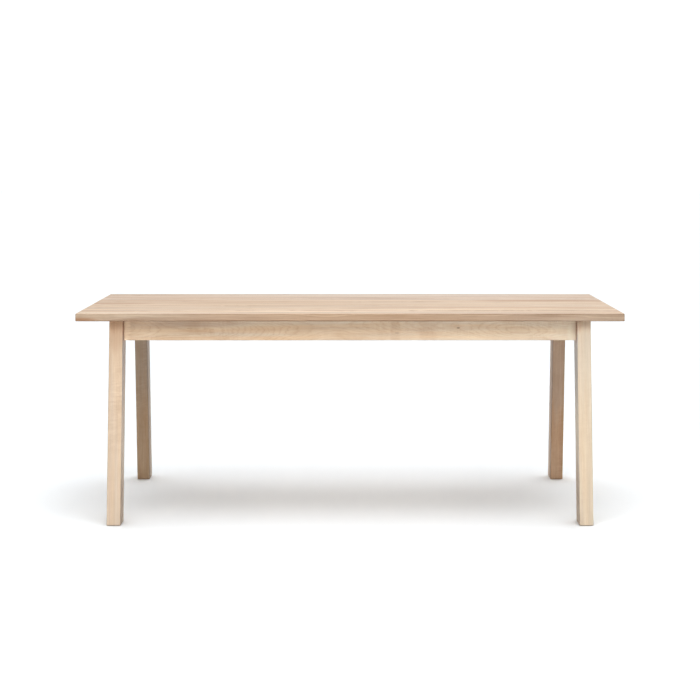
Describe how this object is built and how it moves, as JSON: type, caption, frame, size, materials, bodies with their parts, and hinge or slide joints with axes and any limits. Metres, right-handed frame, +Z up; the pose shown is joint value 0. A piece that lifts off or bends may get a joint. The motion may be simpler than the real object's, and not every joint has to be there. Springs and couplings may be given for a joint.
{
  "type": "communion table",
  "caption": "Long solid-birch communion table with a plain edge-glued top, slim rails and square legs splayed to the front and rear.",
  "frame": {"origin": "on the floor, under the middle of the table", "axes": "+X along the table's length to the right, -Y towards the front, +Z up"},
  "size_m": [1.9, 0.8654, 0.73],
  "materials": {
    "top_birch": "matt white-tinted oil on solid birch",
    "leg_birch": "matt white-tinted oil on solid birch",
    "rail_birch": "matt white-tinted oil on solid birch",
    "zinc_plate": "zinc-plated pressed steel",
    "zinc_fixing": "bright zinc-plated steel",
    "nylon": "pale matt moulded nylon"
  },
  "bodies": {
    "root": {"top_board_1": "top_birch", "top_board_2": "top_birch", "top_board_3": "top_birch", "top_board_4": "top_birch", "top_board_5": "top_birch", "top_board_6": "top_birch", "leg_front_left": "leg_birch", "leg_front_right": "leg_birch", "leg_rear_left": "leg_birch", "leg_rear_right": "leg_birch", "long_apron_front": "rail_birch", "long_apron_rear": "rail_birch", "end_rail_left": "rail_birch", "end_rail_right": "rail_birch", "middle_rail": "rail_birch", "corner_plate_front_left": "zinc_plate", "corner_plate_front_right": "zinc_plate", "corner_plate_rear_left": "zinc_plate", "corner_plate_rear_right": "zinc_plate", "corner_plate_screws_front_left": "zinc_fixing", "corner_plate_screws_front_right": "zinc_fixing", "corner_plate_screws_rear_left": "zinc_fixing", "corner_plate_screws_rear_right": "zinc_fixing", "hanger_bolt_front_left": "zinc_fixing", "hanger_bolt_front_right": "zinc_fixing", "hanger_bolt_rear_left": "zinc_fixing", "hanger_bolt_rear_right": "zinc_fixing", "hanger_bolt_washer_front_left": "zinc_fixing", "hanger_bolt_washer_front_right": "zinc_fixing", "hanger_bolt_washer_rear_left": "zinc_fixing", "hanger_bolt_washer_rear_right": "zinc_fixing", "hanger_bolt_nut_front_left": "zinc_fixing", "hanger_bolt_nut_front_right": "zinc_fixing", "hanger_bolt_nut_rear_left": "zinc_fixing", "hanger_bolt_nut_rear_right": "zinc_fixing", "top_clips_front": "zinc_plate", "top_clips_rear": "zinc_plate", "top_clips_left": "zinc_plate", "top_clips_right": "zinc_plate", "top_clips_middle": "zinc_plate", "top_clip_screws_front": "zinc_fixing", "top_clip_screws_rear": "zinc_fixing", "top_clip_screws_left": "zinc_fixing", "top_clip_screws_right": "zinc_fixing", "top_clip_screws_middle": "zinc_fixing", "glide_front_left": "nylon", "glide_front_right": "nylon", "glide_rear_left": "nylon", "glide_rear_right": "nylon"}
  },
  "joints": []
}
